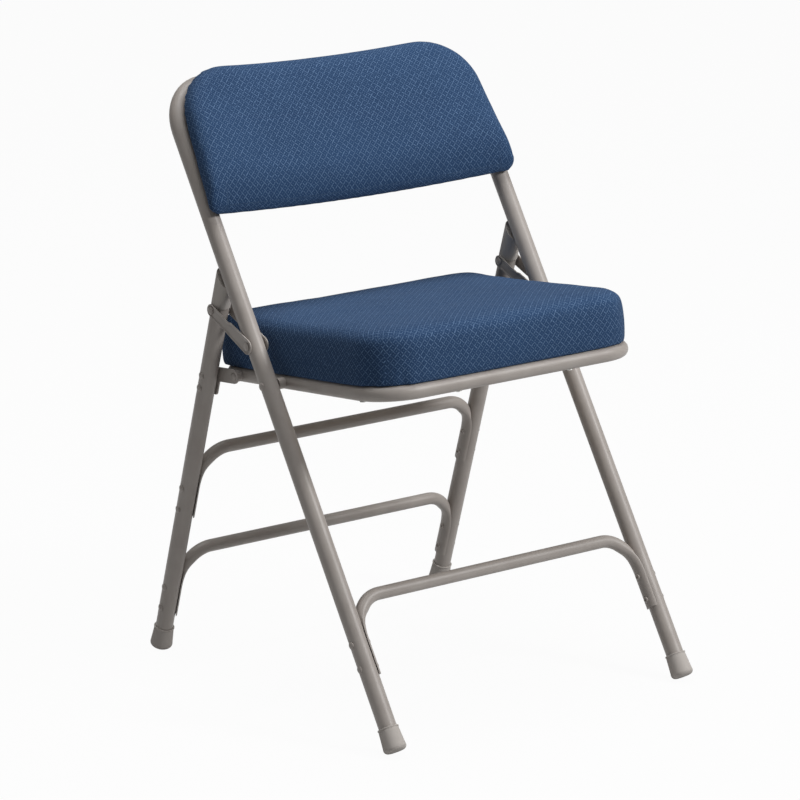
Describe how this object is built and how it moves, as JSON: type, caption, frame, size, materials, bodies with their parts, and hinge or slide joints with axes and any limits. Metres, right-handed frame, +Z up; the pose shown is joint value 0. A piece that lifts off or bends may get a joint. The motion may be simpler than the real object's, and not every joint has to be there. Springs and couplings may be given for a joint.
{
  "type": "folding chair",
  "caption": "Padded steel folding chair: bent tube frame with cross braces, link hinges and upholstered seat and back; folds flat.",
  "frame": {"origin": "on the floor under the middle of the chair's plan, chair open", "axes": "+X to the viewer's right when facing the chair's front, -Y towards the front, +Z up"},
  "size_m": [0.4782, 0.5264, 0.7577],
  "materials": {
    "frame_paint": "satin beige-grey powder coat",
    "rivet_paint": "satin beige-grey paint over steel",
    "fabric": "woven navy upholstery with a fine lattice",
    "back_fabric": "board wrapped in the same woven fabric",
    "foam": "upholstery foam",
    "board": "bare plywood",
    "foot_rubber": "moulded, slightly glossy",
    "cap_plastic": "moulded",
    "screw_steel": "zinc"
  },
  "bodies": {
    "front_frame": {"front_frame_tube": "frame_paint", "front_brace": "frame_paint", "front_brace_rivets": "rivet_paint", "left_front_foot": "foot_rubber", "right_front_foot": "foot_rubber", "back_panel": "back_fabric", "back_foam": "foam", "back_cover": "fabric", "back_screws": "screw_steel"},
    "seat": {"seat_ring": "frame_paint", "seat_panel": "board", "seat_foam": "foam", "seat_cover": "fabric", "seat_screws": "screw_steel", "front_pivot_spacers": "frame_paint", "front_pivot_rivets": "rivet_paint", "rear_pivot_spacers": "frame_paint", "rear_pivot_rivets": "rivet_paint"},
    "rear_legs": {"left_rear_leg": "frame_paint", "right_rear_leg": "frame_paint", "lower_rear_brace": "frame_paint", "upper_rear_brace": "frame_paint", "rear_brace_rivets": "rivet_paint", "left_bracket": "frame_paint", "right_bracket": "frame_paint", "bracket_rivets": "rivet_paint", "left_rear_foot": "foot_rubber", "right_rear_foot": "foot_rubber", "left_leg_cap": "cap_plastic", "right_leg_cap": "cap_plastic"},
    "left_links": {"left_outer_link": "frame_paint", "left_inner_link": "frame_paint", "left_link_front_rivet": "rivet_paint", "left_link_rear_rivets": "rivet_paint"},
    "right_links": {"right_outer_link": "frame_paint", "right_inner_link": "frame_paint", "right_link_front_rivet": "rivet_paint", "right_link_rear_rivets": "rivet_paint"}
  },
  "joints": [
    {"name": "seat_fold", "type": "hinge", "parent": "front_frame", "child": "seat", "pos_m": [0, 0.00112, 0.3989], "axis": [-1, 0, 0], "range_deg": [0, 110]},
    {"name": "rear_leg_fold", "type": "hinge", "parent": "seat", "child": "rear_legs", "pos_m": [0, 0.09406, 0.38864], "axis": [-1, 0, 0], "range_deg": [-60.1, 0.1]},
    {"name": "left_link_swing", "type": "hinge", "parent": "front_frame", "child": "left_links", "pos_m": [0, 0.02959, 0.4429], "axis": [-1, 0, 0], "range_deg": [-0.1, 111.3]},
    {"name": "right_link_swing", "type": "hinge", "parent": "front_frame", "child": "right_links", "pos_m": [0, 0.02959, 0.4429], "axis": [-1, 0, 0], "range_deg": [-0.1, 111.3]}
  ],
  "couplings": [
    {"joint": "rear_leg_fold", "follows": "seat_fold", "ratio": -0.5453},
    {"joint": "left_link_swing", "follows": "seat_fold", "ratio": 1.0111},
    {"joint": "right_link_swing", "follows": "seat_fold", "ratio": 1.0111}
  ]
}
